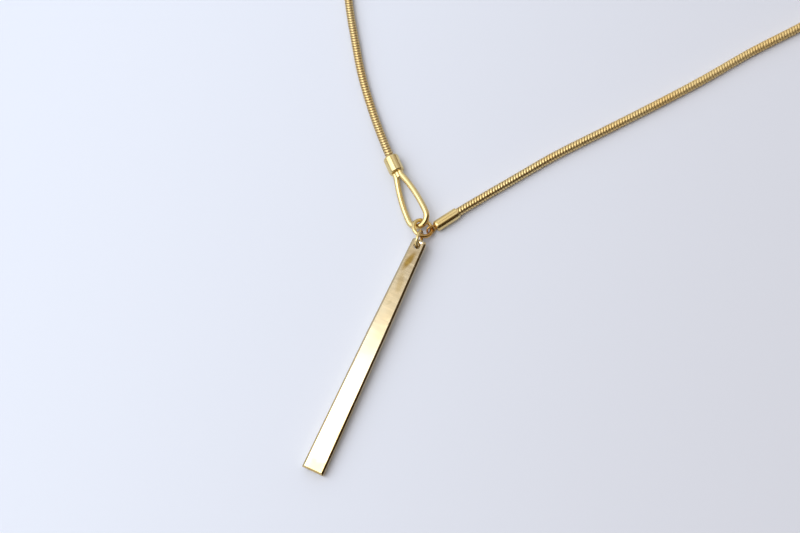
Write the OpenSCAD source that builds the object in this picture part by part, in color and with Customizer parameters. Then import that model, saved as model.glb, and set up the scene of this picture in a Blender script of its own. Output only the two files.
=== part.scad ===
// Bar pendant necklace lying flat: snake chain, end fittings, two jump rings and a tapered bar.
// Millimetres, +Z up, the surface it lies on is z = 0, the origin is the middle of the neck opening.

/* [Chain] */
// Outside diameter of the snake chain
chain_d = 1.6; // [1.4:0.1:1.6]

/* [End cap and loop] */
// Outside diameter of the barrel end cap
cap_d = 2.9; // [2.7:0.1:2.9]
// Length of the barrel end cap
cap_len = 3.35; // [3.3:0.05:3.6]
// Diameter of the wire of the teardrop loop
loop_wire_d = 1.13; // [1.05:0.01:1.13]
// Outside width of the teardrop loop at its round end
loop_w = 5.02; // [4.96:0.01:5.03]

/* [Tube end] */
// Outside diameter of the tube end
tube_d = 2.1; // [2.0:0.05:2.2]
// Length of the tube end without its eye
tube_len = 4.9; // [4.6:0.1:5.2]
// Wire diameter of the eye on the tube end
eye_wire_d = 0.38; // [0.34:0.01:0.38]
// Outside diameter of the eye on the tube end
eye_d = 1.94; // [1.92:0.01:1.96]

/* [Jump rings] */
// Outside diameter of the main jump ring
main_ring_d = 4.2; // [4.18:0.01:4.21]
// Wire diameter of the main jump ring
main_wire_d = 0.74; // [0.65:0.01:0.74]
// Outside diameter of the pendant's jump ring
pendant_ring_d = 3.64; // [3.6:0.01:3.66]
// Wire diameter of the pendant's jump ring
pendant_wire_d = 0.58; // [0.5:0.01:0.58]

/* [Bar] */
// Length of the bar
bar_len = 45.2; // [40:0.1:46]
// Width of the bar at its hole end
bar_top_w = 2.65; // [2.6:0.05:2.9]
// Width of the bar where its sides bend a little, nearer the hole
bar_mid_w = 3.45; // [3.35:0.05:3.6]
// Width of the bar at its far end
bar_end_w = 4.0; // [3.9:0.05:4.3]
// Thickness of the bar
bar_t = 1.8; // [1.5:0.1:1.9]
// Width of the bevel along the bar's edges
bar_bevel = 0.35; // [0.2:0.05:0.4]
// Depth of the bevel along the bar's edges
bar_bevel_depth = 0.25; // [0.15:0.05:0.3]
// Diameter of the hole through the bar
hole_d = 1.3; // [1.25:0.05:1.4]

/* [Clasp] */
// Outside diameter of the clasp barrel
clasp_d = 3.0; // [2.6:0.1:3.0]
// Length of the clasp barrel
clasp_len = 10; // [9:0.5:11]

/* [Hidden] */
$fn = 48;

// Sides of the plain tube that stands for a strand of chain
chain_sides = 8;
// Longest step between two rings of that tube
chain_step = 6.2;
// Depth to which a strand goes into its fittings, and the room round it there
socket_depth = 1.5;
socket_room = 0.05;
socket_d = chain_d + 2 * socket_room;
// How far a cut runs on past the face it opens
cut_past = 1;

// Where the loop's two legs meet, and the cap's turn about Z with its chain end first
cap_root = [-17.145, -89.57, 1.45];
cap_turn = 137.4;
// Roll of the loop about the cap's axis, and the gap between its root and the cap's body
loop_roll = -26.7;
cap_gap = 0.92;
cap_round = 0.45;
cap_edge = 0.2;
// From the root to the middle of the loop's round end
loop_run = 8.6;
// Each leg is one arc that leaves the round end without a kink and ends beside the other leg,
// and then runs straight into the cap
root_gap = 0.04;
root_half = (loop_wire_d + root_gap) / 2;
turn_half = (loop_w - loop_wire_d) / 2;
leg_r = (pow(loop_run, 2) + pow(root_half - turn_half, 2)) / (2 * (turn_half - root_half));
leg_turn = asin(loop_run / leg_r);
// Steps along a leg and round the end, and the sides of the wire
leg_steps = 7;
turn_steps = 16;
loop_sides = 12;
leg_in = 0.3;
// The solder between the two legs
root_d = 1.3;
root_back = 0.4;
root_round = 0.3;

// Nose of the tube end, and its turn about Z with its chain end first
tube_nose = [-7.017, -95.946, 1.05];
tube_turn = 57.3;
eye_roll = 61;
eye_reach = 0.86;
nose_round = 0.6;
tube_edge = 0.1;

// Middle of the main ring, its tilt, and the turn about Z of the side that tilts down
main_ring_at = [-8.93, -97.14, 1.56];
main_ring_tilt = 26.4;
main_ring_tilt_dir = 57.5;

// Middle of the pendant's ring, its turn about Z from the XZ plane, and its lean
pendant_ring_at = [-8.46, -99.52, 2.057];
pendant_ring_turn = 98.7;
pendant_ring_lean = -6.65;

// Middle of the bar's hole, and the metal left between the hole and the bar's end
hole_at = [-8.16, -100.81, 0];
hole_wall = 0.55;
// Height to which the pendant's ring holds up the hole end of the bar
bar_lift = 1.127;
bar_tilt = asin(bar_lift / bar_len);
bar_corner = 0.5;
// From the hole end to the place where the sides bend, and the bar's small turn in plan
bar_mid_at = 19;
bar_turn = -0.1;

clasp_at = [0, 72, 1.5];
clasp_round = 0.6;

// Routes of the strands' middle lines, from the front fittings to the clasp
left_route = [
    [-19.26, -87.63, 1.45], [-20.53, -86.46, 1.45], [-23.65, -83.4, 1.15], [-27.4, -79.4, 0.8],
    [-32.5, -73.4, 0.8], [-37.1, -66.9, 0.8], [-41.5, -60.3, 0.8], [-46.1, -52, 0.8],
    [-51, -41, 0.8], [-55, -28, 0.8], [-57.8, -14, 0.8], [-59, 1, 0.8],
    [-58, 16, 0.8], [-54, 31, 0.8], [-46.5, 45, 0.8], [-36, 57, 0.8],
    [-22.5, 66.3, 0.8], [-11, 71, 1.0], [-6.4, 72, 1.5], [-3.6, 72, 1.5],
];
right_route = [
    [-5.13, -93, 1.05], [-4.05, -91.32, 1.05], [-1.45, -87.45, 0.9], [2.3, -82.1, 0.8],
    [7.2, -75.2, 0.8], [13.8, -67, 0.8], [20.4, -58.8, 0.8], [26.9, -50.4, 0.8],
    [33.2, -41.6, 0.8], [39.7, -33.4, 0.8], [46, -24.4, 0.8], [51.8, -13.6, 0.8],
    [56.4, -2, 0.8], [59, 10, 0.8], [59.2, 24, 0.8], [55.8, 38, 0.8],
    [48.2, 50.6, 0.8], [37, 60.8, 0.8], [23.3, 67.8, 0.8], [11, 71.2, 1.0],
    [6.4, 72, 1.5], [3.6, 72, 1.5],
];

// Slope of the route at point i, weighted by the lengths of the steps before and after it
function slope(r, i) =
    let (last = len(r) - 1)
    i == 0 ? (r[1] - r[0]) / norm(r[1] - r[0])
    : i == last ? (r[last] - r[last - 1]) / norm(r[last] - r[last - 1])
    : let (a = norm(r[i] - r[i - 1]), b = norm(r[i + 1] - r[i]))
      ((r[i] - r[i - 1]) / a * b + (r[i + 1] - r[i]) / b * a) / (a + b);

// Point at share t of step i, on a cubic that keeps the slopes at both ends
function between(r, i, t) =
    let (h = norm(r[i + 1] - r[i]))
    (2 * pow(t, 3) - 3 * pow(t, 2) + 1) * r[i]
    + (pow(t, 3) - 2 * pow(t, 2) + t) * h * slope(r, i)
    + (3 * pow(t, 2) - 2 * pow(t, 3)) * r[i + 1]
    + (pow(t, 3) - pow(t, 2)) * h * slope(r, i + 1);

// The route with each step cut into parts no longer than the given step
function smooth(r, step) = [
    for (i = [0 : len(r) - 2])
        let (parts = max(1, ceil(norm(r[i + 1] - r[i]) / step)))
        for (k = [0 : parts - 1]) between(r, i, k / parts),
    r[len(r) - 1],
];

function unit(v) = v / norm(v);

function heading(p, i) = unit(p[min(i + 1, len(p) - 1)] - p[max(i - 1, 0)]);

// Corner k of the round wire's ring at point i
function corner(p, i, k, radius, sides) =
    let (
        along = heading(p, i),
        side = unit(cross(along, [0, 0, 1])),
        up = cross(side, along),
        turn = 360 * k / sides
    )
    p[i] + radius * (cos(turn) * side + sin(turn) * up);

// A round wire with flat sides, swept through the points
module wire(p, radius, sides) {
    last = len(p) - 1;
    corners = [for (i = [0 : last]) for (k = [0 : sides - 1]) corner(p, i, k, radius, sides)];
    walls = [
        for (i = [0 : last - 1])
            for (k = [0 : sides - 1])
                [
                    i * sides + k, i * sides + (k + 1) % sides,
                    (i + 1) * sides + (k + 1) % sides, (i + 1) * sides + k,
                ],
    ];
    start_face = [for (k = [sides - 1 : -1 : 0]) k];
    end_face = [for (k = [0 : sides - 1]) last * sides + k];
    polyhedron(points = corners, faces = concat([start_face], walls, [end_face]), convexity = 8);
}

// A round ring lying in the XY plane
module ring(outer_d, wire_d) {
    rotate_extrude() translate([(outer_d - wire_d) / 2, 0]) circle(d = wire_d);
}

// A barrel on the X axis from 0 to its length, with rounded ends
module barrel(d, length, round_start, round_end) {
    rotate([0, 90, 0]) rotate_extrude() {
        translate([0, round_start]) square([d / 2, length - round_start - round_end]);
        square([d / 2 - round_start, length]);
        translate([d / 2 - round_start, round_start]) quarter(round_start, -1);
        translate([d / 2 - round_end, length - round_end]) quarter(round_end, 1);
    }
}

// A quarter disc in the first quadrant, or mirrored below the X axis
module quarter(r, up) {
    intersection() {
        circle(r = r);
        translate([0, up > 0 ? 0 : -r]) square(r);
    }
}

// The room for a strand's end, opening at x = 0 towards +X
module socket() {
    translate([-socket_depth, 0, 0]) rotate([0, 90, 0]) cylinder(d = socket_d, h = socket_depth + cut_past);
}

// Middle line of one leg, from the root to the round end, on the side of +Y
function leg_line() = [
    for (k = [leg_steps : -1 : 1])
        let (turn = 90 - leg_turn * k / leg_steps)
        [leg_r * cos(turn) - loop_run, turn_half - leg_r + leg_r * sin(turn), 0],
];

// Middle line of the whole teardrop, along one leg, round the end and back along the other
function teardrop_line() = concat(
    [[cap_gap + leg_in, root_half, 0]],
    leg_line(),
    [
        for (k = [0 : turn_steps])
            let (turn = 90 + 180 * k / turn_steps)
            [turn_half * cos(turn) - loop_run, turn_half * sin(turn), 0],
    ],
    [for (k = [1 : leg_steps]) let (q = leg_line()[leg_steps - k]) [q[0], -q[1], 0]],
    [[cap_gap + leg_in, -root_half, 0]]
);

module loop_cap() {
    color("goldenrod") translate(cap_root) rotate([0, 0, cap_turn]) {
        difference() {
            translate([cap_gap, 0, 0]) barrel(cap_d, cap_len, cap_edge, cap_round);
            translate([cap_gap + cap_len, 0, 0]) socket();
        }
        rotate([loop_roll, 0, 0]) {
            wire(teardrop_line(), loop_wire_d / 2, loop_sides);
            translate([-root_back, 0, 0]) barrel(root_d, root_back + cap_gap + leg_in, root_round, cap_edge);
        }
    }
}

module eye_tube() {
    color("goldenrod") translate(tube_nose) rotate([0, 0, tube_turn]) {
        difference() {
            barrel(tube_d, tube_len, nose_round, tube_edge);
            translate([tube_len, 0, 0]) socket();
        }
        rotate([eye_roll, 0, 0]) translate([-eye_reach, 0, 0]) ring(eye_d, eye_wire_d);
    }
}

module main_ring() {
    color("goldenrod") translate(main_ring_at) rotate([0, 0, main_ring_tilt_dir])
        rotate([0, main_ring_tilt, 0]) ring(main_ring_d, main_wire_d);
}

module pendant_ring() {
    color("goldenrod") translate(pendant_ring_at) rotate([0, 0, pendant_ring_turn])
        rotate([90 + pendant_ring_lean, 0, 0]) ring(pendant_ring_d, pendant_wire_d);
}

// The bar's outline in plan, its hole end at y = 0 and its far end at -Y, drawn in by a margin
module bar_outline(margin) {
    top = bar_top_w / 2 - margin;
    mid = bar_mid_w / 2 - margin;
    end = bar_end_w / 2 - margin;
    polygon([
        [-end, margin - bar_len], [end, margin - bar_len], [mid, -bar_mid_at], [top, -margin - bar_corner],
        [top - bar_corner, -margin], [bar_corner - top, -margin], [-top, -margin - bar_corner],
        [-mid, -bar_mid_at],
    ]);
}

module bar_pendant() {
    hole_y = hole_wall + hole_d / 2;
    color("gold") translate(hole_at) rotate([0, 0, bar_turn]) translate([0, hole_y - bar_len, 0])
        rotate([bar_tilt, 0, 0]) translate([0, bar_len, 0]) difference() {
            hull() {
                translate([0, 0, bar_bevel_depth]) linear_extrude(bar_t - 2 * bar_bevel_depth) bar_outline(0);
                linear_extrude(bar_t) bar_outline(bar_bevel);
            }
            translate([0, -hole_y, -cut_past]) cylinder(d = hole_d, h = bar_t + 2 * cut_past);
        }
}

module barrel_clasp() {
    color("goldenrod") translate(clasp_at) difference() {
        translate([-clasp_len / 2, 0, 0]) barrel(clasp_d, clasp_len, clasp_round, clasp_round);
        for (turn = [0, 180])
            rotate([0, 0, turn]) translate([clasp_len / 2, 0, 0]) socket();
    }
}

module left_chain() {
    color("goldenrod") wire(smooth(left_route, chain_step), chain_d / 2, chain_sides);
}

module right_chain() {
    color("goldenrod") wire(smooth(right_route, chain_step), chain_d / 2, chain_sides);
}

left_chain();
right_chain();
loop_cap();
eye_tube();
main_ring();
pendant_ring();
bar_pendant();
barrel_clasp();
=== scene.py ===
from math import asin, cos, degrees, pi, radians, sin

import bpy
from bpy.props import FloatProperty, FloatVectorProperty, IntProperty, PointerProperty
from mathutils import Matrix, Vector


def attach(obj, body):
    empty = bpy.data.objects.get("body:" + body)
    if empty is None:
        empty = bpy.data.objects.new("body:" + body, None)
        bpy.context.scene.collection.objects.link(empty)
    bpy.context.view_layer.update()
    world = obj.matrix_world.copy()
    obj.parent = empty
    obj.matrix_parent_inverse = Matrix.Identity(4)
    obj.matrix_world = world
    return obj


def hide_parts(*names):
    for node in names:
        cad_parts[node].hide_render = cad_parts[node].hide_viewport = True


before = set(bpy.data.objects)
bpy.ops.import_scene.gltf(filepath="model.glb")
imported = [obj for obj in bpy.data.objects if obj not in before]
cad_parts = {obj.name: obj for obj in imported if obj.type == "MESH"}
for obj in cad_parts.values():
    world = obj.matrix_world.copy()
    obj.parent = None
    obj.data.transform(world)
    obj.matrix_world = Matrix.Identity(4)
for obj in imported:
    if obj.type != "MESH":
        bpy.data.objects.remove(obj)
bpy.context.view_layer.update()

bl_info = {
    "name": "Bar Pendant Necklace",
    "version": (1, 0, 0),
    "blender": (4, 5, 0),
    "location": "View3D > Sidebar > Necklace",
    "description": "Dresses a bar pendant necklace that lies on a pale table",
    "category": "Add Mesh",
}

# Lengths below are in millimetres, and become metres by this factor.
MM = 0.001
# Points nearer than this, in metres, are one point.
SAME_POINT = 1e-6

# Middle lines of the two strands, from the front fittings to the clasp, in millimetres.
LEFT_ROUTE = (
    (-19.26, -87.63, 1.45), (-20.53, -86.46, 1.45), (-23.65, -83.4, 1.15), (-27.4, -79.4, 0.8),
    (-32.5, -73.4, 0.8), (-37.1, -66.9, 0.8), (-41.5, -60.3, 0.8), (-46.1, -52, 0.8),
    (-51, -41, 0.8), (-55, -28, 0.8), (-57.8, -14, 0.8), (-59, 1, 0.8),
    (-58, 16, 0.8), (-54, 31, 0.8), (-46.5, 45, 0.8), (-36, 57, 0.8),
    (-22.5, 66.3, 0.8), (-11, 71, 1), (-6.4, 72, 1.5), (-3.6, 72, 1.5),
)
RIGHT_ROUTE = (
    (-5.13, -93, 1.05), (-4.05, -91.32, 1.05), (-1.45, -87.45, 0.9), (2.3, -82.1, 0.8),
    (7.2, -75.2, 0.8), (13.8, -67, 0.8), (20.4, -58.8, 0.8), (26.9, -50.4, 0.8),
    (33.2, -41.6, 0.8), (39.7, -33.4, 0.8), (46, -24.4, 0.8), (51.8, -13.6, 0.8),
    (56.4, -2, 0.8), (59, 10, 0.8), (59.2, 24, 0.8), (55.8, 38, 0.8),
    (48.2, 50.6, 0.8), (37, 60.8, 0.8), (23.3, 67.8, 0.8), (11, 71.2, 1),
    (6.4, 72, 1.5), (3.6, 72, 1.5),
)
ROUTE_STEPS = 16

# Sizes and places in millimetres and turns in degrees. The pieces' places and turns are the same as
# the CAD part's, whose rings have no cuts.
# End cap and loop: the point where the loop's legs start, the cap's turn in plan and the loop's roll.
CAP_ROOT = (-17.145, -89.57, 1.45)
CAP_TURN = 137.4
LOOP_ROLL = -26.7
# From that point to the cap, the gap between the legs there, how far the legs run into the cap, and
# from that point to the middle of the loop's round end.
CAP_GAP = 0.92
ROOT_GAP = 0.04
LEG_IN = 0.3
LOOP_RUN = 8.6
# Rounding of the cap's two ends. Then the solder's radius, its reach past the point, and its own
# rounding and chamfer.
CAP_SHOULDER = 0.45
CAP_EDGE = 0.2
SOLDER_R = 0.65
SOLDER_BACK = 0.4
SOLDER_ROUND = 0.3
SOLDER_CHAMFER = 0.1
SOLDER_SIDES = 32
# The shallow dish in the cap's end on the loop's side: its depth, and its floor and rim in cap radii.
DISH_DEPTH = 0.12
DISH_FLOOR = 0.62
DISH_RIM = 0.66

# Tube end: the tip of its nose, its turn in plan, and the roll and reach of its eye.
TUBE_NOSE = (-7.017, -95.946, 1.05)
TUBE_TURN = 57.3
EYE_ROLL = 61
EYE_REACH = 0.86
NOSE_ROUND = 0.6
TUBE_EDGE = 0.1

# Jump rings: middles, tilts and where round the ring its cut lies.
MAIN_RING_AT = (-8.93, -97.14, 1.56)
MAIN_RING_TILT = 26.4
MAIN_RING_TILT_DIR = 57.5
MAIN_RING_CUT_AT = 20
PENDANT_RING_AT = (-8.46, -99.52, 2.057)
PENDANT_RING_TURN = 98.7
PENDANT_RING_LEAN = -6.65
PENDANT_RING_CUT_AT = 200

# Bar: the hole's middle, the metal left before it, the lift of that end, where the sides bend, and the
# turn in plan.
HOLE_AT = (-8.16, -100.81)
HOLE_WALL = 0.55
BAR_LIFT = 1.127
BAR_MID_AT = 19
BAR_TURN = -0.1
RIM_ROUND = 0.07
HOLE_SIDES = 48
# Edges and corners of the bar are picked by their place, to within this.
NEAR = 0.01

# Clasp, with the width and depth of the line between its halves.
CLASP_AT = (0, 72, 1.5)
CLASP_ROUND = 0.6
CLASP_LINE = 0.06
CLASP_LINE_DEPTH = 0.1

# Sockets that the strands' ends sit in: depth, room round the chain, and chamfers of their mouths.
SOCKET_DEPTH = 1.5
SOCKET_ROOM = 0.05
SOCKET_CHAMFER = 0.06
TUBE_CHAMFER = 0.04

# Points round and along the turned and bent pieces.
LATHE_SIDES = 48
LOOP_SIDES = 20
LEG_STEPS = 14
LOOP_END_STEPS = 32
RING_SIDES = 16
RING_STEPS = 72
EYE_SIDES = 14
EYE_STEPS = 48

# One link's wall, from its mouth round to its neck: places in pitches and radii in the chain's own.
LINK_WALL = ((0.00, 0.930), (0.20, 0.992), (0.66, 1.000), (0.90, 0.900), (1.36, 0.790), (0.50, 0.820))
# A point of it takes the full painted shade of a crevice between links inside the first of these radii,
# and none outside the second.
GROOVE_DEEP = 0.88
GROOVE_SHALLOW = 0.985

# Painted light on the plating, as darker patches: on the bar, painted shade in its hole and painted
# reflections on its face, along its right edge and at its far end; on the rings, painted red-brown shade
# in the knot. Each has its middle, turn, half width, half length and depth, and strength.
BAR_PAINTED_LIGHT = (
    ((-8.16, -100.81, 1.7), 0, (0.85, 0.85, 1.0), 0.85),
    ((-8.35, -104.1, 2.8), 13, (0.75, 2.7, 2.0), 0.90),
    ((-8.2, -108.2, 2.7), -8, (0.9, 2.8, 2.0), 0.38),
    ((-8.4, -112.4, 2.6), 25, (0.4, 0.9, 2.0), 0.15),
    ((-8.1, -145.0, 1.8), 0, (3.0, 4.5, 3.0), 0.60),
    ((-6.3, -136.0, 1.9), 0, (0.9, 11.0, 3.0), 0.55),
)
# Painted red-brown shade in the knot, round the eye and the pendant ring.
KNOT_SHADE_PATCHES = (
    ((-7.3, -97.3, 1.2), 0, (2.0, 2.0, 2.2), 0.90),
    ((-8.4, -99.0, 1.2), 0, (1.7, 1.6, 1.9), 0.85),
)
# A patch is full inside the second of these shares of its half size and gone outside the first. Noise of
# this height and scale is added to the distance, which makes its edge uneven.
SHADE_PATCH_EDGE = (1.25, 0.55)
SHADE_PATCH_NOISE = 0.5
SHADE_PATCH_NOISE_SCALE = 900
# The plating drifts to a warmer tone, which has these shares of its red, green and blue.
WARMER = (1, 0.93, 0.82)
# Painted shade all over the strand that isn't worn. The other one's wear starts this far from its tube
# and grows over this run. It clears this share of the painted shade in the grooves and adds this much
# roughness.
ALL_OVER_SHADE = 0.20
WEAR_FROM = 12
WEAR_RUN = 40
WEAR_CLEARS = 0.7
WEAR_DULLS = 0.27

# The table's colour is painted darker along this direction, a painted shade away from the window,
# between these distances from the neck's middle.
TABLE_FADE = (0.989, 0.148, 0)
TABLE_FADE_FROM = -125
TABLE_FADE_TO = 75
TABLE_SIZE = 3000
TABLE_ROUGHNESS = 0.6

# Light: sides of the dark and dim walls, the window's direction and its edges, in degrees.
DARK_SIDE = -30
DIM_SIDE = 35
WINDOW_SIDE = 197
WINDOW_RISE = 52
WINDOW_EDGES = (34, 18)
# How far a direction points to a side, where an area's effect starts and where it is full.
DARK_RAMP = (0.25, 0.60)
DIM_RAMP = (0.30, 0.65)
LOW_RAMP = (0.05, 0.50)
BAND_START = (0.09, 0.20)
BAND_END = (0.60, 0.35)
BAND_TOP = (0.80, 0.92)
PATCH_FRONT = (0.130, 0.038)
PATCH_BACK = (-0.60, -0.35)
PATCH_RIGHT = (0.10, -0.06)
PATCH_LEFT = (-0.55, -0.40)
WARM_RAMP = (0.10, 0.85)
# Shares of the light that the dim wall, the low part and the band ahead take away.
DIM_SHARE = 0.42
LOW_SHARE = 0.55
BAND_SHARE = 0.46
# Strengths of the parts, and their colours.
DOME_LIGHT = 0.95
PATCH_LIGHT = 2.2
WINDOW_LIGHT = 1.15
LEAST_LIGHT = 0.06
WARM_LIGHT = (1.0, 0.68, 0.34, 1)
PLAIN_LIGHT = (0.97, 0.98, 1.0, 1)
BACKDROP = (0.80, 0.82, 0.90, 1)

# Camera: the point it looks at, its tilt from straight down, its side, its distance and the turn of the
# image's level line.
CAMERA_AIM = (-10, -105, 0)
CAMERA_TILT = 18
CAMERA_SIDE = -48
CAMERA_REACH = 209.09
LEVEL_LINE = 23
FOCAL_PIXELS = 1150
FRAME_WIDTH_PIXELS = 800
SENSOR_WIDTH = 36
NEAREST_SEEN = 10


# Sizes and colours.


def length(name, description, millimetres):
    """A size that the user can change, given in millimetres."""
    return FloatProperty(
        name=name, description=description, default=millimetres * MM, min=0, precision=5, unit="LENGTH"
    )


def colour(name, description, rgb):
    """A colour that the user can change."""
    return FloatVectorProperty(
        name=name, description=description, default=rgb, min=0, max=1, size=3, subtype="COLOR"
    )


class NecklaceChain(bpy.types.PropertyGroup):
    diameter: length("Diameter", "Outside diameter of the snake chain", 1.6)
    pitch: length("Pitch", "Distance from one link to the next", 0.56)
    wave: length("Wave", "How far each link's rim waves along the chain", 0.15)
    sides: IntProperty(name="Sides", description="Sides round a link", default=12, min=10, max=16)
    left_roll: FloatProperty(
        name="Left roll", description="Turn of the left strand about its own line",
        default=radians(-32), subtype="ANGLE",
    )
    right_roll: FloatProperty(
        name="Right roll", description="Turn of the right strand about its own line",
        default=radians(0), subtype="ANGLE",
    )


class NecklaceFittings(bpy.types.PropertyGroup):
    cap_diameter: length("Cap diameter", "Outside diameter of the barrel end cap", 2.9)
    cap_length: length("Cap length", "Length of the barrel end cap", 3.35)
    loop_wire: length("Loop wire", "Diameter of the teardrop loop's wire", 1.13)
    loop_width: length("Loop width", "Outside width of the teardrop loop at its round end", 5.02)
    tube_diameter: length("Tube diameter", "Outside diameter of the tube end", 2.1)
    tube_length: length("Tube length", "Length of the tube end without its eye", 4.9)
    eye_wire: length("Eye wire", "Diameter of the eye's wire", 0.38)
    eye_diameter: length("Eye diameter", "Outside diameter of the eye", 1.94)
    main_ring: length("Main ring", "Outside diameter of the main jump ring", 4.2)
    main_wire: length("Main ring wire", "Wire diameter of the main jump ring", 0.74)
    pendant_ring: length("Pendant ring", "Outside diameter of the pendant's jump ring", 3.64)
    pendant_wire: length("Pendant ring wire", "Wire diameter of the pendant's jump ring", 0.58)
    ring_cut: length("Ring cut", "Width of the closed cut in a jump ring", 0.02)
    clasp_diameter: length("Clasp diameter", "Outside diameter of the clasp", 3.0)
    clasp_length: length("Clasp length", "Length of the clasp", 10)


class NecklaceBar(bpy.types.PropertyGroup):
    length: length("Length", "Length of the bar", 45.2)
    top_width: length("Top width", "Width at the hole end", 2.65)
    middle_width: length("Middle width", "Width where the sides bend a little", 3.45)
    end_width: length("End width", "Width at the far end", 4.0)
    thickness: length("Thickness", "Thickness of the bar", 1.8)
    bevel: length("Bevel", "Width of the flat bevel along the edges", 0.35)
    bevel_depth: length("Bevel depth", "Depth of the flat bevel along the edges", 0.25)
    corner: length("Corner", "Size of the rounded corners at the hole end", 0.5)
    hole: length("Hole", "Diameter of the hole", 1.3)


class NecklaceFinish(bpy.types.PropertyGroup):
    gold: colour("Gold", "Plating of the fittings", (0.785, 0.635, 0.315))
    chain_gold: colour("Chain gold", "Plating of the chain", (0.81, 0.63, 0.30))
    bar_gold: colour("Bar gold", "Plating of the bar", (0.845, 0.735, 0.505))
    # Painted shade: the darker tone painted in the crevices between the chain's links.
    shade_tone: colour("Shade Tone", "Darker tone in grooves and crevices", (0.22, 0.10, 0.035))
    # Painted shade: the red-brown tone painted in the knot of rings and the eye.
    bar_painted_tone: colour("Bar Painted Tone", "Ochre tone of the stains on the bar", (0.50, 0.33, 0.06))
    # Painted light: the ochre tone of the painted reflections on the bar and the painted shade in its
    # hole.
    knot_shade: colour("Knot Shade", "Redder tone of the plating where the rings rub", (0.56, 0.29, 0.06))
    table: colour("Table", "The pale table, where it is lightest", (0.80, 0.86, 0.985))
    # Painted shade: the table's colour away from the window.
    table_shaded: colour("Table far side", "The table away from the window", (0.63, 0.645, 0.71))


# Modelling helpers.


def put_down():
    """Leaves edit mode and deselects every object."""
    if bpy.context.object and bpy.context.object.mode != "OBJECT":
        bpy.ops.object.mode_set(mode="OBJECT")
    bpy.ops.object.select_all(action="DESELECT")


def take(piece):
    """Makes the piece the only selected object."""
    put_down()
    piece.select_set(True)
    bpy.context.view_layer.objects.active = piece


def settle(piece):
    """Puts the object's place, turn and scale in its mesh."""
    take(piece)
    bpy.ops.object.transform_apply(location=True, rotation=True, scale=True)


def place(piece, at, turn):
    """Moves a finished piece to its place in millimetres and its turn in degrees."""
    piece.location = Vector(at) * MM
    piece.rotation_euler = [radians(a) for a in turn]
    settle(piece)


def new_round(name, radius, sides, at=(0, 0, 0), turn=(0, 90, 0)):
    """A circle, by default square to the X axis, left open in edit mode and selected all over."""
    put_down()
    bpy.ops.mesh.primitive_circle_add(
        vertices=sides, radius=radius, location=at, rotation=[radians(a) for a in turn]
    )
    piece = bpy.context.object
    piece.name = name
    piece.data.name = name
    settle(piece)
    bpy.ops.object.mode_set(mode="EDIT")
    bpy.ops.mesh.select_all(action="SELECT")
    return piece


def walk_rings(profile):
    """Extrudes the selected ring from point to point of a profile of places along X and radii."""
    for (x0, r0), (x1, r1) in zip(profile, profile[1:]):
        bpy.ops.mesh.extrude_edges_move(TRANSFORM_OT_translate={"value": (x1 - x0, 0, 0)})
        bpy.ops.transform.resize(value=(1, r1 / r0, r1 / r0), center_override=(x1, 0, 0))


def pick(piece, kind, test):
    """Selects the vertices, edges or faces that pass the test, and raises an error if none does."""
    bpy.ops.mesh.select_mode(type=kind)
    bpy.ops.mesh.select_all(action="DESELECT")
    bpy.ops.object.mode_set(mode="OBJECT")
    mesh = piece.data
    found = 0
    if kind == "VERT":
        for v in mesh.vertices:
            v.select = test(v.co)
            found += v.select
    elif kind == "EDGE":
        for e in mesh.edges:
            a, b = (mesh.vertices[i].co for i in e.vertices)
            e.select = test(a, b)
            found += e.select
    else:
        for f in mesh.polygons:
            f.select = test(f.center, f.normal)
            found += f.select
    bpy.ops.object.mode_set(mode="EDIT")
    if not found:
        raise RuntimeError(f"{piece.name}: nothing was selected")


def join_open_rims():
    """Bridges the two open rims of a walk into a closed wall."""
    bpy.ops.mesh.select_mode(type="EDGE")
    bpy.ops.mesh.select_all(action="DESELECT")
    bpy.ops.mesh.select_non_manifold()
    bpy.ops.mesh.bridge_edge_loops()


def turn_outwards():
    """Merges points that meet, and turns every face outwards."""
    bpy.ops.mesh.select_all(action="SELECT")
    bpy.ops.mesh.remove_doubles(threshold=SAME_POINT)
    bpy.ops.mesh.normals_make_consistent(inside=False)


def arc(middle_x, middle_r, radius, start, end, steps):
    """Points of an arc in a profile, from one angle in degrees to another."""
    points = []
    for k in range(steps + 1):
        a = radians(start + (end - start) * k / steps)
        points.append((middle_x + radius * cos(a), middle_r + radius * sin(a)))
    return points


def apply_all(piece):
    """Applies the piece's modifiers in order."""
    take(piece)
    for m in list(piece.modifiers):
        bpy.ops.object.modifier_apply(modifier=m.name)


def combine(piece, other, operation):
    """Fuses another closed piece to this one or cuts it away from it, and removes it."""
    m = piece.modifiers.new("combine", "BOOLEAN")
    m.operation = operation
    m.solver = "EXACT"
    m.object = other
    apply_all(piece)
    bpy.data.objects.remove(other)


def finish_piece(piece, material, slot, *nodes, angle=40, flat_faces=False):
    """Smooths a piece, keeps its large faces flat if asked, and sets it in the frame with its finish."""
    take(piece)
    bpy.ops.object.mode_set(mode="EDIT")
    turn_outwards()
    bpy.ops.object.mode_set(mode="OBJECT")
    bpy.ops.object.shade_smooth_by_angle(angle=radians(angle))
    if flat_faces:
        weigh = piece.modifiers.new("flat faces", "WEIGHTED_NORMAL")
        weigh.keep_sharp = True
        apply_all(piece)
    piece.data.materials.clear()
    piece.data.materials.append(material)
    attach(piece, "root")
    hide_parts(*nodes)
    put_down()


# Finishes.


def add_node(tree, kind, **values):
    """A new node with these of its settings."""
    node = tree.nodes.new(kind)
    for key, value in values.items():
        setattr(node, key, value)
    return node


def ramp(tree, source, off, full):
    """A smooth step of a value from 0 at off to 1 at full, which may lie either way."""
    node = add_node(tree, "ShaderNodeMapRange", interpolation_type="SMOOTHSTEP")
    node.inputs["From Min"].default_value = min(off, full)
    node.inputs["From Max"].default_value = max(off, full)
    node.inputs["To Min"].default_value = float(off > full)
    node.inputs["To Max"].default_value = float(full > off)
    tree.links.new(source, node.inputs["Value"])
    return node.outputs["Result"]


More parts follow.
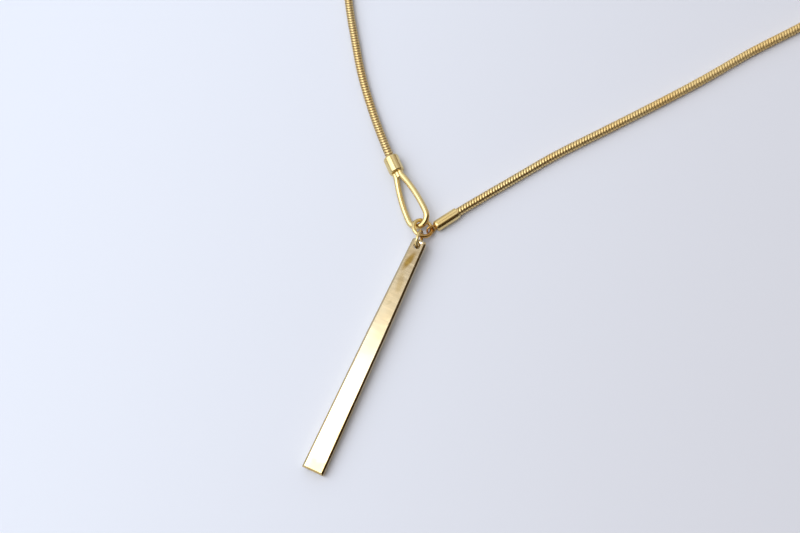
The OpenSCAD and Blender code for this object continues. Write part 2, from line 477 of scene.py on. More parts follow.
def along(tree, direction, axis):
    """How far a direction points along an axis."""
    node = add_node(tree, "ShaderNodeVectorMath", operation="DOT_PRODUCT")
    tree.links.new(direction, node.inputs[0])
    node.inputs[1].default_value = axis
    return node.outputs["Value"]


def calc(tree, operation, a, b):
    """One sum of two values or sockets."""
    node = add_node(tree, "ShaderNodeMath", operation=operation)
    for socket, value in zip(node.inputs, (a, b)):
        if isinstance(value, (int, float)):
            socket.default_value = value
        else:
            tree.links.new(value, socket)
    return node.outputs[0]


def product(tree, first, *others):
    """Several values or sockets multiplied together."""
    for other in others:
        first = calc(tree, "MULTIPLY", first, other)
    return first


def less(tree, value, mask, share):
    """A value that loses a share of itself where a mask says."""
    return calc(tree, "MULTIPLY", value, calc(tree, "SUBTRACT", 1, calc(tree, "MULTIPLY", mask, share)))


def new_group(name, ins, outs):
    """An empty node group with named sockets."""
    tree = bpy.data.node_groups.new(name, "ShaderNodeTree")
    for title, kind, default in ins:
        socket = tree.interface.new_socket(name=title, in_out="INPUT", socket_type=kind)
        if default is not None:
            socket.default_value = default
    for title, kind in outs:
        tree.interface.new_socket(name=title, in_out="OUTPUT", socket_type=kind)
    return tree, tree.nodes.new("NodeGroupInput"), tree.nodes.new("NodeGroupOutput")


def polish_marks():
    """Soft waves left by polishing, with finer marks drawn out along one direction."""
    name = "Polish Marks"
    if name in bpy.data.node_groups:
        return bpy.data.node_groups[name]
    tree, start, end = new_group(
        name,
        [
            ("Vector", "NodeSocketVector", None),
            ("Wave Size", "NodeSocketFloat", 300.0),
            ("Mark Size", "NodeSocketFloat", 3000.0),
            ("Mark Stretch", "NodeSocketVector", (1.0, 0.05, 1.0)),
            ("Mark Share", "NodeSocketFloat", 0.3),
        ],
        [("Height", "NodeSocketFloat"), ("Marks", "NodeSocketFloat")],
    )
    link = tree.links.new
    waves = add_node(tree, "ShaderNodeTexNoise")
    waves.inputs["Detail"].default_value = 1.0
    link(start.outputs["Vector"], waves.inputs["Vector"])
    link(start.outputs["Wave Size"], waves.inputs["Scale"])
    drawn = add_node(tree, "ShaderNodeVectorMath", operation="MULTIPLY")
    link(start.outputs["Vector"], drawn.inputs[0])
    link(start.outputs["Mark Stretch"], drawn.inputs[1])
    marks = add_node(tree, "ShaderNodeTexNoise")
    marks.inputs["Detail"].default_value = 3.0
    link(drawn.outputs[0], marks.inputs["Vector"])
    link(start.outputs["Mark Size"], marks.inputs["Scale"])
    mix = add_node(tree, "ShaderNodeMix")
    link(start.outputs["Mark Share"], mix.inputs["Factor"])
    link(waves.outputs["Fac"], mix.inputs["A"])
    link(marks.outputs["Fac"], mix.inputs["B"])
    link(mix.outputs["Result"], end.inputs["Height"])
    link(marks.outputs["Fac"], end.inputs["Marks"])
    return tree


def plating_tone_and_shade():
    """Uneven plating, with painted shade: the tone drifts between two colours, and the shade tone
    darkens it where a mask says.
    """
    name = "Plating Tone"
    if name in bpy.data.node_groups:
        return bpy.data.node_groups[name]
    tree, start, end = new_group(
        name,
        [
            ("Vector", "NodeSocketVector", None),
            ("Gold", "NodeSocketColor", None),
            ("Warmer Gold", "NodeSocketColor", None),
            ("Shade Tone", "NodeSocketColor", None),
            ("Shade Mask", "NodeSocketFloat", 0.0),
            ("Drift Size", "NodeSocketFloat", 150.0),
        ],
        [("Color", "NodeSocketColor"), ("Dull", "NodeSocketFloat")],
    )
    link = tree.links.new
    drift = add_node(tree, "ShaderNodeTexNoise")
    drift.inputs["Detail"].default_value = 2.0
    link(start.outputs["Vector"], drift.inputs["Vector"])
    link(start.outputs["Drift Size"], drift.inputs["Scale"])
    spread = add_node(tree, "ShaderNodeMapRange")
    spread.inputs["From Min"].default_value = 0.35
    spread.inputs["From Max"].default_value = 0.65
    link(drift.outputs["Fac"], spread.inputs["Value"])
    tone = add_node(tree, "ShaderNodeMix", data_type="RGBA")
    link(spread.outputs["Result"], tone.inputs["Factor"])
    link(start.outputs["Gold"], tone.inputs["A"])
    link(start.outputs["Warmer Gold"], tone.inputs["B"])
    # Painted shade: the mask mixes the shade tone in.
    shaded = add_node(tree, "ShaderNodeMix", data_type="RGBA")
    link(start.outputs["Shade Mask"], shaded.inputs["Factor"])
    link(tone.outputs["Result"], shaded.inputs["A"])
    link(start.outputs["Shade Tone"], shaded.inputs["B"])
    link(shaded.outputs["Result"], end.inputs["Color"])
    link(spread.outputs["Result"], end.inputs["Dull"])
    return tree


def gold_finish(name, gold, shade_tone, rough, dull, waves, marks, stretch, share, depth, groove_shade=None):
    """A polished gold plate. Roughness runs from rough to dull, and depth is the marks' in metres.

    A groove shade attribute, where the piece has one, paints shade on it, and its wear attribute dulls
    it.
    """
    material = bpy.data.materials.new(name)
    material.use_nodes = True
    tree = material.node_tree
    link = tree.links.new
    shader = tree.nodes["Principled BSDF"]
    shader.inputs["Metallic"].default_value = 1.0
    coords = add_node(tree, "ShaderNodeTexCoord")
    tone = add_node(tree, "ShaderNodeGroup", node_tree=plating_tone_and_shade())
    warmer = [c * share for c, share in zip(gold, WARMER)]
    tone.inputs["Gold"].default_value = (*gold, 1)
    tone.inputs["Warmer Gold"].default_value = (*warmer, 1)
    tone.inputs["Shade Tone"].default_value = (*shade_tone, 1)
    link(coords.outputs["Object"], tone.inputs["Vector"])
    # Painted shade in the grooves, from the groove shade attribute.
    if groove_shade:
        mask = add_node(tree, "ShaderNodeAttribute", attribute_name=groove_shade)
        link(mask.outputs["Fac"], tone.inputs["Shade Mask"])
    link(tone.outputs["Color"], shader.inputs["Base Color"])
    polish = add_node(tree, "ShaderNodeGroup", node_tree=polish_marks())
    polish.inputs["Wave Size"].default_value = waves
    polish.inputs["Mark Size"].default_value = marks
    polish.inputs["Mark Stretch"].default_value = stretch
    polish.inputs["Mark Share"].default_value = share
    link(coords.outputs["Object"], polish.inputs["Vector"])
    shine = add_node(tree, "ShaderNodeMapRange")
    shine.inputs["From Min"].default_value = 0.3
    shine.inputs["From Max"].default_value = 0.7
    shine.inputs["To Min"].default_value = rough
    shine.inputs["To Max"].default_value = dull
    link(polish.outputs["Marks"], shine.inputs["Value"])
    if groove_shade:
        wear = add_node(tree, "ShaderNodeAttribute", attribute_name="wear")
        worn = calc(tree, "MULTIPLY", wear.outputs["Fac"], WEAR_DULLS)
        link(calc(tree, "ADD", shine.outputs["Result"], worn), shader.inputs["Roughness"])
    else:
        link(shine.outputs["Result"], shader.inputs["Roughness"])
    bump = add_node(tree, "ShaderNodeBump")
    bump.inputs["Strength"].default_value = 1.0
    bump.inputs["Distance"].default_value = depth
    link(polish.outputs["Height"], bump.inputs["Height"])
    link(bump.outputs["Normal"], shader.inputs["Normal"])
    return material


def shade_patch_mask():
    """A soft oval patch with an uneven edge, 1 in its middle and 0 outside."""
    name = "Smudge"
    if name in bpy.data.node_groups:
        return bpy.data.node_groups[name]
    tree, start, end = new_group(
        name,
        [
            ("Vector", "NodeSocketVector", None),
            ("Middle", "NodeSocketVector", None),
            ("Turn", "NodeSocketFloat", 0.0),
            ("Size", "NodeSocketVector", None),
        ],
        [("Mask", "NodeSocketFloat")],
    )
    link = tree.links.new
    spin = add_node(tree, "ShaderNodeVectorRotate", rotation_type="Z_AXIS")
    link(start.outputs["Vector"], spin.inputs["Vector"])
    link(start.outputs["Middle"], spin.inputs["Center"])
    link(start.outputs["Turn"], spin.inputs["Angle"])
    offset = add_node(tree, "ShaderNodeVectorMath", operation="SUBTRACT")
    link(spin.outputs["Vector"], offset.inputs[0])
    link(start.outputs["Middle"], offset.inputs[1])
    oval = add_node(tree, "ShaderNodeVectorMath", operation="DIVIDE")
    link(offset.outputs["Vector"], oval.inputs[0])
    link(start.outputs["Size"], oval.inputs[1])
    reach = add_node(tree, "ShaderNodeVectorMath", operation="LENGTH")
    link(oval.outputs["Vector"], reach.inputs[0])
    edge = add_node(tree, "ShaderNodeTexNoise")
    edge.inputs["Scale"].default_value = SHADE_PATCH_NOISE_SCALE
    link(start.outputs["Vector"], edge.inputs["Vector"])
    noise = calc(tree, "MULTIPLY", edge.outputs["Fac"], SHADE_PATCH_NOISE)
    uneven = calc(tree, "ADD", reach.outputs["Value"], noise)
    link(ramp(tree, uneven, *SHADE_PATCH_EDGE), end.inputs["Mask"])
    return tree


def add_shade_patches(material, shade_patches):
    """Paints shade and reflections on the plating in patches toward its shade tone, each given by its
    middle, turn, half sizes and strength.
    """
    tree = material.node_tree
    tone = next(n for n in tree.nodes if n.type == "GROUP" and n.node_tree.name == "Plating Tone")
    coords = next(n for n in tree.nodes if n.type == "TEX_COORD")
    total = 0.0
    for middle, turn, size, strength in shade_patches:
        patch = add_node(tree, "ShaderNodeGroup", node_tree=shade_patch_mask())
        patch.inputs["Middle"].default_value = [v * MM for v in middle]
        patch.inputs["Turn"].default_value = radians(turn)
        patch.inputs["Size"].default_value = [v * MM for v in size]
        tree.links.new(coords.outputs["Object"], patch.inputs["Vector"])
        total = calc(tree, "ADD", calc(tree, "MULTIPLY", patch.outputs["Mask"], strength), total)
    tree.links.new(total, tone.inputs["Shade Mask"])


# Pieces.


def route_curve(name, route):
    """A curve through the route's points, whose slopes weigh the steps before and after each point."""
    points = [Vector(p) * MM for p in route]
    last = len(points) - 1
    slopes = [(points[1] - points[0]).normalized()]
    for before, here, after in zip(points, points[1:], points[2:]):
        a, b = (here - before).length, (after - here).length
        slopes.append(((here - before) / a * b + (after - here) / b * a) / (a + b))
    slopes.append((points[last] - points[last - 1]).normalized())
    line = bpy.data.curves.new(name, "CURVE")
    line.dimensions = "3D"
    line.twist_mode = "Z_UP"
    line.use_stretch = True
    line.use_deform_bounds = True
    line.resolution_u = ROUTE_STEPS
    spline = line.splines.new("BEZIER")
    spline.bezier_points.add(last)
    for i, knot in enumerate(spline.bezier_points):
        knot.handle_left_type = knot.handle_right_type = "FREE"
        back = (points[i] - points[max(i - 1, 0)]).length
        ahead = (points[min(i + 1, last)] - points[i]).length
        knot.co = points[i]
        knot.handle_left = points[i] - slopes[i] * back / 3
        knot.handle_right = points[i] + slopes[i] * ahead / 3
    guide = bpy.data.objects.new(name, line)
    bpy.context.scene.collection.objects.link(guide)
    return guide


def route_length(route):
    """Length of the route in metres, along the same cubics as the curve's."""
    guide = route_curve("measure", route)
    total = guide.data.splines[0].calc_length()
    bpy.data.objects.remove(guide)
    return total


def snake_link(name, chain):
    """One cup-shaped link: a rounded band whose neck sits in the next link's mouth."""
    p, r = chain.pitch, chain.diameter / 2
    wall = [(x * p, radius * r) for x, radius in LINK_WALL]
    piece = new_round(name, wall[0][1], chain.sides)
    walk_rings(wall)
    join_open_rims()
    # Two crests and two troughs round the link. With twelve sides its points lie on a true wave.
    for side in (1, -1):
        pick(piece, "VERT", lambda co, s=side: s * co.y * co.z > SAME_POINT * r)
        bpy.ops.transform.translate(value=(side * chain.wave * sin(pi / 3), 0, 0))
    turn_outwards()
    bpy.ops.object.mode_set(mode="OBJECT")
    # Painted shade: 1 in the crevice where the neck sits in the next link's mouth, 0 on the crest.
    groove_shade = piece.data.attributes.new("groove_shade", "FLOAT", "POINT")
    deep, shallow = GROOVE_DEEP * r, GROOVE_SHALLOW * r
    for v in piece.data.vertices:
        out = (v.co.y ** 2 + v.co.z ** 2) ** 0.5
        groove_shade.data[v.index].value = min(1, max(0, (shallow - out) / (shallow - deep)))
    return piece


def snake_strand(name, node, route, roll, worn, chain, finish):
    """A whole strand: one link repeated along the route, each link's neck in the next one's mouth.

    A worn strand grows duller, and the painted shade in its grooves lighter, with the distance from its
    front fitting. One that isn't worn gets painted shade all over.
    """
    run = route_length(route)
    links = round(run / chain.pitch)
    piece = snake_link(name, chain)
    piece.rotation_euler = (roll, 0, 0)
    settle(piece)
    row = piece.modifiers.new("row", "ARRAY")
    row.count = links
    row.use_relative_offset = False
    row.use_constant_offset = True
    row.constant_offset_displace = (chain.pitch, 0, 0)
    guide = route_curve(name + "_line", route)
    follow = piece.modifiers.new("follow", "CURVE")
    follow.object = guide
    follow.deform_axis = "POS_X"
    apply_all(piece)
    bpy.data.objects.remove(guide)
    wear = piece.data.attributes.new("wear", "FLOAT", "POINT")
    groove_shade = piece.data.attributes["groove_shade"]
    front = Vector(route[0]) * MM
    for v in piece.data.vertices:
        far = (v.co - front).length - WEAR_FROM * MM
        wear.data[v.index].value = worn * min(1, max(0, far / (WEAR_RUN * MM)))
        # The painted shade in the grooves lightens with wear; the strand that isn't worn gets painted
        # shade all over.
        kept_shade = groove_shade.data[v.index].value * (1 - WEAR_CLEARS * wear.data[v.index].value)
        groove_shade.data[v.index].value = max(kept_shade, (1 - worn) * ALL_OVER_SHADE)
    finish_piece(piece, finish, "chain_gold", node, angle=50)


def lathe(name, profile, sides=LATHE_SIDES):
    """A closed turned shape on the X axis, whose profile starts and ends on a flat face."""
    piece = new_round(name, profile[0][1], sides, at=(profile[0][0], 0, 0))
    bpy.ops.mesh.edge_face_add()
    bpy.ops.mesh.inset(thickness=profile[0][1] * 0.5)
    bpy.ops.mesh.select_all(action="DESELECT")
    bpy.ops.mesh.select_mode(type="EDGE")
    bpy.ops.mesh.select_non_manifold()
    walk_rings(profile)
    bpy.ops.mesh.edge_face_add()
    turn_outwards()
    bpy.ops.object.mode_set(mode="OBJECT")
    return piece


def teardrop(name, fittings):
    """A wire that leaves the root, spins along one leg, round the end and back along the other."""
    wire, width = fittings.loop_wire, fittings.loop_width
    run = LOOP_RUN * MM
    half_root = (wire + ROOT_GAP * MM) / 2
    half_turn = (width - wire) / 2
    leg_r = (run ** 2 + (half_root - half_turn) ** 2) / (2 * (half_turn - half_root))
    leg_turn = asin(run / leg_r)
    piece = new_round(name, wire / 2, LOOP_SIDES, at=(0, half_root, 0), turn=(0, 90, degrees(-leg_turn)))
    bpy.ops.mesh.edge_face_add()
    for turn, middle, count in (
        (leg_turn, (-run, half_turn - leg_r, 0), LEG_STEPS),
        (pi, (-run, 0, 0), LOOP_END_STEPS),
        (leg_turn, (-run, leg_r - half_turn, 0), LEG_STEPS),
    ):
        bpy.ops.mesh.spin(
            steps=count, angle=-turn, center=middle, axis=(0, 0, 1), use_auto_merge=False
        )
    turn_outwards()
    # The flat ends of both legs are drawn out into the cap.
    pick(piece, "FACE", lambda middle, normal: abs(middle.x) < SAME_POINT and normal.x > 0.8)
    bpy.ops.mesh.extrude_region_move(TRANSFORM_OT_translate={"value": ((CAP_GAP + LEG_IN) * MM, 0, 0)})
    turn_outwards()
    bpy.ops.object.mode_set(mode="OBJECT")
    return piece


def closed_ring(name, outer, wire, steps, sides, cut=0.0):
    """A round wire bent to a ring in the XY plane, closed, or with a fine cut at its side."""
    middle = (outer - wire) / 2
    start = cut / middle / 2
    piece = new_round(
        name, wire / 2, sides,
        at=(middle * cos(start), middle * sin(start), 0), turn=(90, 0, degrees(start)),
    )
    if cut:
        bpy.ops.mesh.edge_face_add()
    bpy.ops.mesh.spin(
        steps=steps, angle=2 * start - 2 * pi, center=(0, 0, 0), axis=(0, 0, 1), use_auto_merge=False
    )
    turn_outwards()
    bpy.ops.object.mode_set(mode="OBJECT")
    return piece


def socket(chain, end, chamfer):
    """Profile of the socket for a strand's end, from its mouth to its floor, with its chamfer in mm."""
    bore = chain.diameter / 2 + SOCKET_ROOM * MM
    return [(end, bore + chamfer * MM), (end - chamfer * MM, bore), (end - SOCKET_DEPTH * MM, bore)]


class NECKLACE_OT_chain(bpy.types.Operator):
    """Adds both strands of snake chain, link by link"""

    bl_idname = "necklace.add_chain"
    bl_label = "Snake Chain"

    def execute(self, context):
        chain = context.scene.necklace_chain
        colours = context.scene.necklace_finish
        finish = gold_finish(
            "chain gold", colours.chain_gold, colours.shade_tone,
            rough=0.26, dull=0.38, waves=900, marks=6000, stretch=(1, 1, 1), share=0.5,
            depth=0.004 * MM, groove_shade="groove_shade",
        )
        for name, node, route, roll, worn in (
            ("left_snake_chain", "left_chain", LEFT_ROUTE, chain.left_roll, 0.0),
            ("right_snake_chain", "right_chain", RIGHT_ROUTE, chain.right_roll, 1.0),
        ):
            snake_strand(name, node, route, roll, worn, chain, finish)
        return {"FINISHED"}


def cap_barrel(fittings, chain):
    """The end cap's barrel, with a dish towards the loop and a socket for the strand."""
    r, start = fittings.cap_diameter / 2, CAP_GAP * MM
    end, shoulder, edge = start + fittings.cap_length, CAP_SHOULDER * MM, CAP_EDGE * MM
    profile = [(start + DISH_DEPTH * MM, DISH_FLOOR * r), (start, DISH_RIM * r), (start, r - edge)]
    profile += arc(start + edge, r - edge, edge, 180, 90, 4)[1:]
    profile += arc(end - shoulder, r - shoulder, shoulder, 90, 0, 6)
    profile += socket(chain, end, SOCKET_CHAMFER)
    return lathe("end_cap", profile)


def loop_root():
    """The drop of solder that holds both legs of the loop to the cap."""
    radius, back, blend, bevel = SOLDER_R * MM, -SOLDER_BACK * MM, SOLDER_ROUND * MM, SOLDER_CHAMFER * MM
    inside = (CAP_GAP + LEG_IN) * MM
    profile = [(back, radius - blend)]
    profile += arc(back + blend, radius - blend, blend, 180, 90, 5)[1:]
    profile += [(inside - bevel, radius), (inside, radius - bevel)]
    return lathe("loop_root", profile, sides=SOLDER_SIDES)


class NECKLACE_OT_cap(bpy.types.Operator):
    """Adds the barrel end cap with its teardrop loop"""

    bl_idname = "necklace.add_cap"
    bl_label = "End Cap and Loop"

    def execute(self, context):
        f = context.scene.necklace_fittings
        cap = cap_barrel(f, context.scene.necklace_chain)
        loop = teardrop("teardrop_loop", f)
        for part in (loop_root(), loop):
            part.rotation_euler = (radians(LOOP_ROLL), 0, 0)
            settle(part)
            combine(cap, part, "UNION")
        place(cap, CAP_ROOT, (0, 0, CAP_TURN))
        finish = fitting_finish(context)
        finish_piece(cap, finish, "fitting_gold", "loop_cap", angle=35, flat_faces=True)
        return {"FINISHED"}


def fitting_finish(context):
    """The polish that the cap, the tube, the rings and the clasp share."""
    name = "fitting gold"
    if name in bpy.data.materials:
        return bpy.data.materials[name]
    colours = context.scene.necklace_finish
    finish = gold_finish(
        name, colours.gold, colours.knot_shade,
        rough=0.16, dull=0.26, waves=700, marks=5000, stretch=(1, 1, 1), share=0.25,
        depth=0.006 * MM,
    )
    # Painted shade in the knot of rings and the eye.
    add_shade_patches(finish, KNOT_SHADE_PATCHES)
    return finish


class NECKLACE_OT_tube(bpy.types.Operator):
    """Adds the slim tube end with its soldered eye"""

    bl_idname = "necklace.add_tube"
    bl_label = "Tube End and Eye"

    def execute(self, context):
        f = context.scene.necklace_fittings
        r, end, nose, edge = f.tube_diameter / 2, f.tube_length, NOSE_ROUND * MM, TUBE_EDGE * MM
        profile = arc(nose, r - nose, nose, 180, 90, 8)
        profile += arc(end - edge, r - edge, edge, 90, 0, 3)
        profile += socket(context.scene.necklace_chain, end, TUBE_CHAMFER)
        tube = lathe("tube_end", profile)
        eye = closed_ring("eye", f.eye_diameter, f.eye_wire, EYE_STEPS, EYE_SIDES)
        eye.location = (-EYE_REACH * MM, 0, 0)
        settle(eye)
        eye.rotation_euler = (radians(EYE_ROLL), 0, 0)
        settle(eye)
        combine(tube, eye, "UNION")
        place(tube, TUBE_NOSE, (0, 0, TUBE_TURN))
        finish = fitting_finish(context)
        finish_piece(tube, finish, "fitting_gold", "eye_tube", angle=35, flat_faces=True)
        return {"FINISHED"}


class NECKLACE_OT_rings(bpy.types.Operator):
    """Adds the two jump rings, each with its fine cut"""

    bl_idname = "necklace.add_rings"
    bl_label = "Jump Rings"

    def execute(self, context):
        f = context.scene.necklace_fittings
        for name, node, outer, wire, at, turn, cut_at in (
            ("main_jump_ring", "main_ring", f.main_ring, f.main_wire, MAIN_RING_AT,
             (0, MAIN_RING_TILT, MAIN_RING_TILT_DIR), MAIN_RING_CUT_AT),
            ("pendant_jump_ring", "pendant_ring", f.pendant_ring, f.pendant_wire, PENDANT_RING_AT,
             (90 + PENDANT_RING_LEAN, 0, PENDANT_RING_TURN), PENDANT_RING_CUT_AT),
        ):
            ring = closed_ring(name, outer, wire, RING_STEPS, RING_SIDES, cut=f.ring_cut)
            ring.rotation_euler = (0, 0, radians(cut_at))
            settle(ring)
            place(ring, at, turn)
            finish_piece(ring, fitting_finish(context), "fitting_gold", node, angle=40)
        return {"FINISHED"}


def bar_blank(b):
    """The tapered and bevelled bar without its hole, lying along Y with its hole end at zero."""
    put_down()
    # Built taller and squashed after its bevel, which makes the bevel wider than it is deep.
    squash = b.bevel_depth / b.bevel
    tall = b.thickness / squash
    bpy.ops.mesh.primitive_cube_add(size=1, location=(0, -b.length / 2, tall / 2))
    bar = bpy.context.object
    bar.name = bar.data.name = "bar"
    bar.scale = (b.end_width, b.length, tall)
    settle(bar)
    bpy.ops.object.mode_set(mode="EDIT")
    near, bend = NEAR * MM, -BAR_MID_AT * MM
    bpy.ops.mesh.select_all(action="SELECT")
    bpy.ops.mesh.bisect(plane_co=(0, bend, 0), plane_no=(0, 1, 0))
    for test, width in (
        (lambda co: abs(co.y - bend) < near, b.middle_width),
        (lambda co: co.y > bend + near, b.top_width),
    ):
        pick(bar, "VERT", test)
        bpy.ops.transform.resize(value=(width / b.end_width, 1, 1), center_override=(0, 0, 0))
    # The upright edges at the hole end are rounded, then the level ones all round are bevelled.
    pick(bar, "EDGE", lambda a, c: min(a.y, c.y) > -near and abs(a.z - c.z) > near)
    bpy.ops.mesh.bevel(offset=b.corner, segments=4, profile=0.5, affect="EDGES", clamp_overlap=False)
    pick(bar, "EDGE", lambda a, c: abs(a.z - c.z) < near and abs(a.y - bend) + abs(c.y - bend) >= near)
    bpy.ops.mesh.bevel(offset=b.bevel, segments=1, affect="EDGES", clamp_overlap=False)
    bpy.ops.mesh.select_all(action="SELECT")
    bpy.ops.transform.resize(value=(1, 1, squash), center_override=(0, 0, 0))
    bpy.ops.object.mode_set(mode="OBJECT")
    return bar


def drill_hole(bar, b):
    """Cuts the hole through the bar, and rounds its two rims."""
    put_down()
    middle = Vector((0, -(HOLE_WALL * MM + b.hole / 2)))
    bpy.ops.mesh.primitive_cylinder_add(
        vertices=HOLE_SIDES, radius=b.hole / 2, depth=b.thickness * 3, location=(*middle, 0)
    )
    drill = bpy.context.object
    settle(drill)
    combine(bar, drill, "DIFFERENCE")
    bpy.ops.object.mode_set(mode="EDIT")
    turn_outwards()
    near, rim = NEAR * MM, RIM_ROUND * MM

    def on_rim(a, c):
        level = abs(a.z - c.z) < near and min(a.z, b.thickness - a.z) < near
        return level and all(abs((p.xy - middle).length - b.hole / 2) < near for p in (a, c))

    pick(bar, "EDGE", on_rim)
    bpy.ops.mesh.bevel(offset=rim, segments=2, profile=0.5, affect="EDGES", clamp_overlap=False)
    bpy.ops.object.mode_set(mode="OBJECT")


def lay_bar(bar, b):
    """Lays the bar in its place. Its far end rests on the table, and the ring lifts the hole's end."""
    tilt = asin(BAR_LIFT * MM / b.length)
    bar.rotation_euler = (tilt, 0, 0)
    far_end = Vector((0, -b.length, 0))
    far_end.rotate(bar.rotation_euler)
    bar.location = Vector((0, HOLE_WALL * MM + b.hole / 2 - b.length, 0)) - far_end
    settle(bar)
    place(bar, (*HOLE_AT, 0), (0, 0, BAR_TURN))


class NECKLACE_OT_bar(bpy.types.Operator):
    """Adds the tapered bar with its bevels and its hole"""

    bl_idname = "necklace.add_bar"
    bl_label = "Bar"

    def execute(self, context):
        b = context.scene.necklace_bar
        colours = context.scene.necklace_finish
        bar = bar_blank(b)
        drill_hole(bar, b)
        lay_bar(bar, b)
        finish = gold_finish(
            "bar gold", colours.bar_gold, colours.bar_painted_tone,
            rough=0.07, dull=0.16, waves=160, marks=2600, stretch=(0.12, 1, 1), share=0.2,
            depth=0.008 * MM,
        )
        # Painted reflections on the bar's face and edges, and painted shade in its hole.
        add_shade_patches(finish, BAR_PAINTED_LIGHT)
        finish_piece(bar, finish, "bar_gold", "bar_pendant", angle=30, flat_faces=True)
        return {"FINISHED"}


class NECKLACE_OT_clasp(bpy.types.Operator):
    """Adds the plain barrel clasp with the fine line between its halves"""

    bl_idname = "necklace.add_clasp"
    bl_label = "Barrel Clasp"

    def execute(self, context):
        f = context.scene.necklace_fittings
        r, half, edge = f.clasp_diameter / 2, f.clasp_length / 2, CLASP_ROUND * MM
        line, deep = CLASP_LINE * MM, CLASP_LINE_DEPTH * MM
        side = arc(half - edge, r - edge, edge, 90, 0, 6)
        side += socket(context.scene.necklace_chain, half, SOCKET_CHAMFER)
        middle = [(line, r - deep), (2 * line, r - line / 2), (3 * line, r)]
        right = middle + side
        left = [(-x, radius) for x, radius in reversed(right)]
        clasp = lathe("barrel_clasp_dressed", left + right)
        place(clasp, CLASP_AT, (0, 0, 0))
        finish = fitting_finish(context)
        finish_piece(clasp, finish, "fitting_gold", "barrel_clasp", angle=35, flat_faces=True)
        return {"FINISHED"}


# Stage.


def toward(tree, direction, turn, rise=0):
    """How far a direction points to a side of the room, given by its turn and rise in degrees."""
    turn, rise = radians(turn), radians(rise)
    return along(tree, direction, (cos(rise) * cos(turn), cos(rise) * sin(turn), sin(rise)))


def soft_room():
    """A room with a window on the left, a bright patch overhead, a dark right side and a dim horizon.

    The camera itself sees a plain backdrop.
    """
    world = bpy.data.worlds.new("soft room")
    world.use_nodes = True
    tree = world.node_tree
    tree.nodes.clear()
    link = tree.links.new
    coords = add_node(tree, "ShaderNodeTexCoord").outputs["Generated"]
    forward = along(tree, coords, (0, 1, 0))
    rightward = along(tree, coords, (1, 0, 0))
    upward = along(tree, coords, (0, 0, 1))
    # The wide light of the room, less on the dark and dim sides, low down, and in a band ahead.
    shade = calc(tree, "SUBTRACT", 1, ramp(tree, toward(tree, coords, DARK_SIDE), *DARK_RAMP))
    shade = less(tree, shade, ramp(tree, toward(tree, coords, DIM_SIDE), *DIM_RAMP), DIM_SHARE)
    horizon = calc(tree, "MULTIPLY", ramp(tree, upward, *LOW_RAMP), LOW_SHARE)
    horizon = calc(tree, "ADD", horizon, 1 - LOW_SHARE)
    band = product(
        tree,
        ramp(tree, forward, *BAND_START), ramp(tree, forward, *BAND_END),
        ramp(tree, upward, *BAND_TOP),
    )
    pale = less(tree, shade, band, BAND_SHARE)
    dome = product(tree, pale, horizon, DOME_LIGHT)
    # The bright patch that the lower half of the bar mirrors.
    patch = product(
        tree,
        ramp(tree, forward, *PATCH_FRONT), ramp(tree, forward, *PATCH_BACK),
        ramp(tree, rightward, *PATCH_RIGHT), ramp(tree, rightward, *PATCH_LEFT),
        PATCH_LIGHT,
    )
    outer, inner = (cos(radians(edge)) for edge in WINDOW_EDGES)
    window = toward(tree, coords, WINDOW_SIDE, WINDOW_RISE)
    pane = calc(tree, "MULTIPLY", ramp(tree, window, outer, inner), WINDOW_LIGHT)
    strength = calc(tree, "ADD", calc(tree, "ADD", dome, patch), calc(tree, "ADD", pane, LEAST_LIGHT))
    light = add_node(tree, "ShaderNodeBackground")
    hue = add_node(tree, "ShaderNodeMix", data_type="RGBA")
    hue.inputs["A"].default_value = WARM_LIGHT
    hue.inputs["B"].default_value = PLAIN_LIGHT
    link(ramp(tree, pale, *WARM_RAMP), hue.inputs["Factor"])
    link(hue.outputs["Result"], light.inputs["Color"])
    link(strength, light.inputs["Strength"])
    plain = add_node(tree, "ShaderNodeBackground")
    plain.inputs["Color"].default_value = BACKDROP
    path = add_node(tree, "ShaderNodeLightPath")
    mix = add_node(tree, "ShaderNodeMixShader")
    link(path.outputs["Is Camera Ray"], mix.inputs[0])
    link(light.outputs[0], mix.inputs[1])
    link(plain.outputs[0], mix.inputs[2])
    out = add_node(tree, "ShaderNodeOutputWorld")
    link(mix.outputs[0], out.inputs["Surface"])
    return world


def pale_table(colours):
    """The table, with painted shade that makes its colour darker away from the window."""
    bpy.ops.mesh.primitive_plane_add(size=TABLE_SIZE * MM, location=(0, 0, 0))
    table = bpy.context.object
    table.name = "table"
    paper = bpy.data.materials.new("pale table")
    paper.use_nodes = True
    tree = paper.node_tree
    shader = tree.nodes["Principled BSDF"]
    coords = add_node(tree, "ShaderNodeTexCoord").outputs["Object"]
    fade = ramp(tree, along(tree, coords, TABLE_FADE), TABLE_FADE_FROM * MM, TABLE_FADE_TO * MM)
    tone = add_node(tree, "ShaderNodeMix", data_type="RGBA")
    tone.inputs["A"].default_value = (*colours.table, 1)
    tone.inputs["B"].default_value = (*colours.table_shaded, 1)
    tree.links.new(fade, tone.inputs["Factor"])
    tree.links.new(tone.outputs["Result"], shader.inputs["Base Color"])
    shader.inputs["Roughness"].default_value = TABLE_ROUGHNESS
    table.data.materials.append(paper)


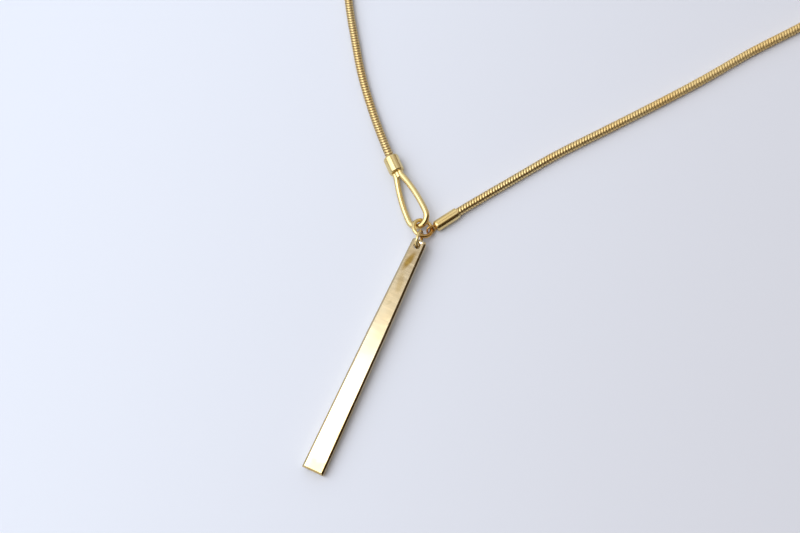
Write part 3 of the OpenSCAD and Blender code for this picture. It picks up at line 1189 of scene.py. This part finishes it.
def view_camera(scene):
    """A camera that looks down at the knot and the bar, a little off straight down."""
    tilt, side, level_turn = radians(CAMERA_TILT), radians(CAMERA_SIDE), radians(LEVEL_LINE)
    back = Vector((sin(tilt) * cos(side), sin(tilt) * sin(side), cos(tilt)))
    level = Vector((cos(level_turn), sin(level_turn), 0))
    right = (level - level.dot(back) * back).normalized()
    up = back.cross(right)
    lens = bpy.data.cameras.new("camera")
    lens.sensor_width = SENSOR_WIDTH
    lens.lens = SENSOR_WIDTH * FOCAL_PIXELS / FRAME_WIDTH_PIXELS
    lens.clip_start = NEAREST_SEEN * MM
    camera = bpy.data.objects.new("camera", lens)
    scene.collection.objects.link(camera)
    stand = Matrix((right, up, back)).transposed().to_4x4()
    stand.translation = (Vector(CAMERA_AIM) + back * CAMERA_REACH) * MM
    camera.matrix_world = stand
    return camera


class NECKLACE_OT_stage(bpy.types.Operator):
    """Adds the pale table, the soft light and the camera"""

    bl_idname = "necklace.add_stage"
    bl_label = "Table, Light and Camera"

    def execute(self, context):
        scene = context.scene
        put_down()
        pale_table(scene.necklace_finish)
        scene.world = soft_room()
        scene.view_settings.view_transform = "Standard"
        scene.camera = view_camera(scene)
        return {"FINISHED"}


# Add-on.

GROUPS = {
    "necklace_chain": NecklaceChain,
    "necklace_fittings": NecklaceFittings,
    "necklace_bar": NecklaceBar,
    "necklace_finish": NecklaceFinish,
}
MAKERS = (
    NECKLACE_OT_stage,
    NECKLACE_OT_chain,
    NECKLACE_OT_cap,
    NECKLACE_OT_tube,
    NECKLACE_OT_rings,
    NECKLACE_OT_bar,
    NECKLACE_OT_clasp,
)


class NECKLACE_PT_panel(bpy.types.Panel):
    """Lists the pieces of the necklace and their sizes"""

    bl_idname = "NECKLACE_PT_panel"
    bl_label = "Bar Pendant Necklace"
    bl_space_type = "VIEW_3D"
    bl_region_type = "UI"
    bl_category = "Necklace"

    def draw(self, context):
        layout = self.layout
        for maker in MAKERS:
            layout.operator(maker.bl_idname)
        for key in GROUPS:
            group = getattr(context.scene, key)
            box = layout.box()
            for name in group.__annotations__:
                box.prop(group, name)


CLASSES = (*GROUPS.values(), *MAKERS, NECKLACE_PT_panel)


def register():
    for cls in CLASSES:
        bpy.utils.register_class(cls)
    for key, cls in GROUPS.items():
        setattr(bpy.types.Scene, key, PointerProperty(type=cls))


def unregister():
    for key in GROUPS:
        delattr(bpy.types.Scene, key)
    for cls in reversed(CLASSES):
        bpy.utils.unregister_class(cls)


def main():
    register()
    for maker in MAKERS:
        group, action = maker.bl_idname.split(".")
        getattr(getattr(bpy.ops, group), action)()
    put_down()


if __name__ == "__main__":
    main()
